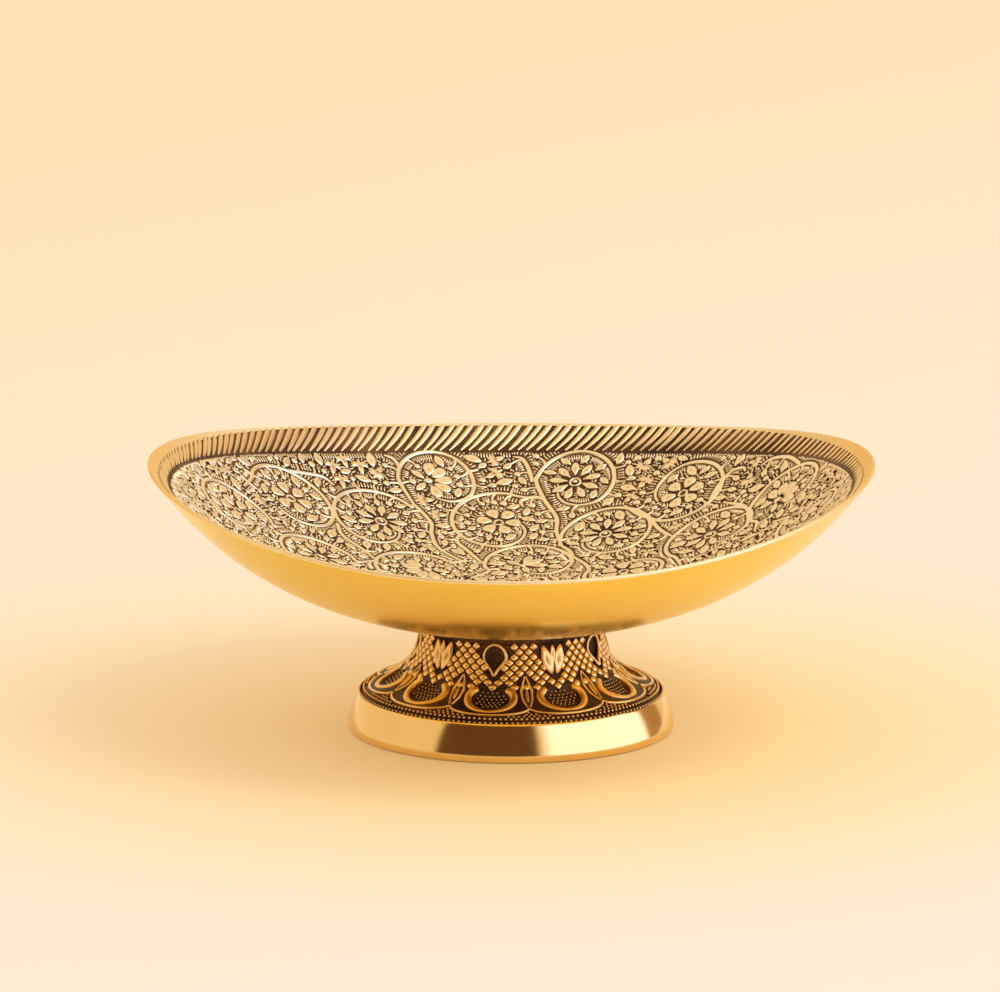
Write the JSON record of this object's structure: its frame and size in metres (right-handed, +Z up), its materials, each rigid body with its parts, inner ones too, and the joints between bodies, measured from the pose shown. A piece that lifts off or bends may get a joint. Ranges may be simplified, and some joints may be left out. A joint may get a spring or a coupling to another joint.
{
  "type": "footed bowl",
  "caption": "Shallow round brass dish pressed into a gentle boat shape, chased inside, bolted to a flared hollow cast foot; stands on a table and holds fruit, nuts or sweets.",
  "frame": {"origin": "centre of the foot's base, on the table", "axes": "+Z up through the foot; +X towards one raised tip of the dish; +Y towards one low side"},
  "size_m": [0.1992, 0.2092, 0.0753],
  "materials": {
    "dish_brass": "spun brass, satin polished outside; chased inside, with the raised ornament rubbed bright over a brown-black patina",
    "foot_brass": "cast brass, patinated dark in its relief and rubbed bright on it, with a turned and polished band round the base",
    "hardware_brass": "plain machined brass, lightly dulled",
    "zinc_steel": "zinc plated spring steel"
  },
  "bodies": {
    "root": {"dish": "dish_brass", "foot": "foot_brass", "fixing_stud": "hardware_brass", "flat_washer": "hardware_brass", "spring_washer": "zinc_steel", "hex_nut": "hardware_brass"}
  },
  "joints": []
}
